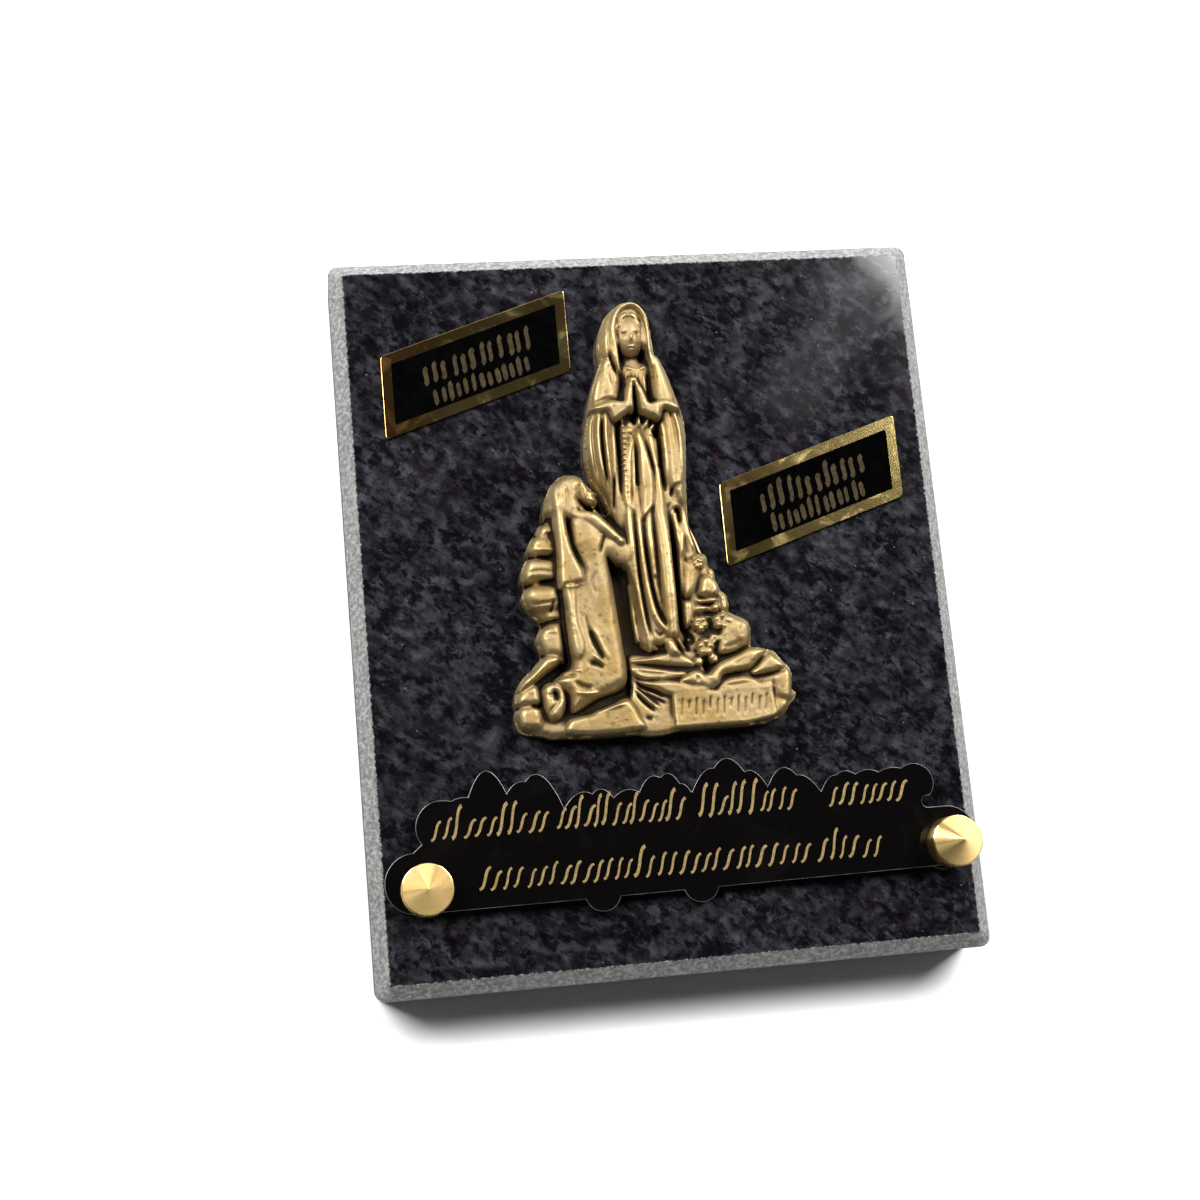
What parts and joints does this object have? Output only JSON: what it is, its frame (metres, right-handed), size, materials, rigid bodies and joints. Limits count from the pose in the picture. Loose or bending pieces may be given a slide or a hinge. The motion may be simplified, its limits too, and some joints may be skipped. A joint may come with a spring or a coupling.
{
  "type": "grave plaque",
  "caption": "Small chamfered granite grave plaque with a cast bronze relief of a standing and a kneeling figure, a screwed contour-cut inscription plate and slanted labels",
  "frame": {"origin": "middle of the slab's back face, at the bottom of the bounding box", "axes": "+X is the plaque's right, +Y its top edge, +Z out of the polished face; the plaque lies on its back"},
  "size_m": [0.149, 0.18, 0.0345],
  "materials": {
    "granite": "polished dark blue-black granite, light grey ground chamfer and sides",
    "bronze": "antiqued satin cast bronze, bright high spots and dark recesses",
    "acrylic": "glossy black-backed acrylic with dull gold strokes and a clear cut edge",
    "brass": "bright turned brass",
    "foil": "black label with a mirror gold border"
  },
  "bodies": {
    "root": {"granite_slab": "granite", "bronze_relief": "bronze", "inscription_plate": "acrylic", "cap_screw_left": "brass", "cap_screw_right": "brass", "label_upper_left": "foil", "label_right": "foil"}
  },
  "joints": []
}
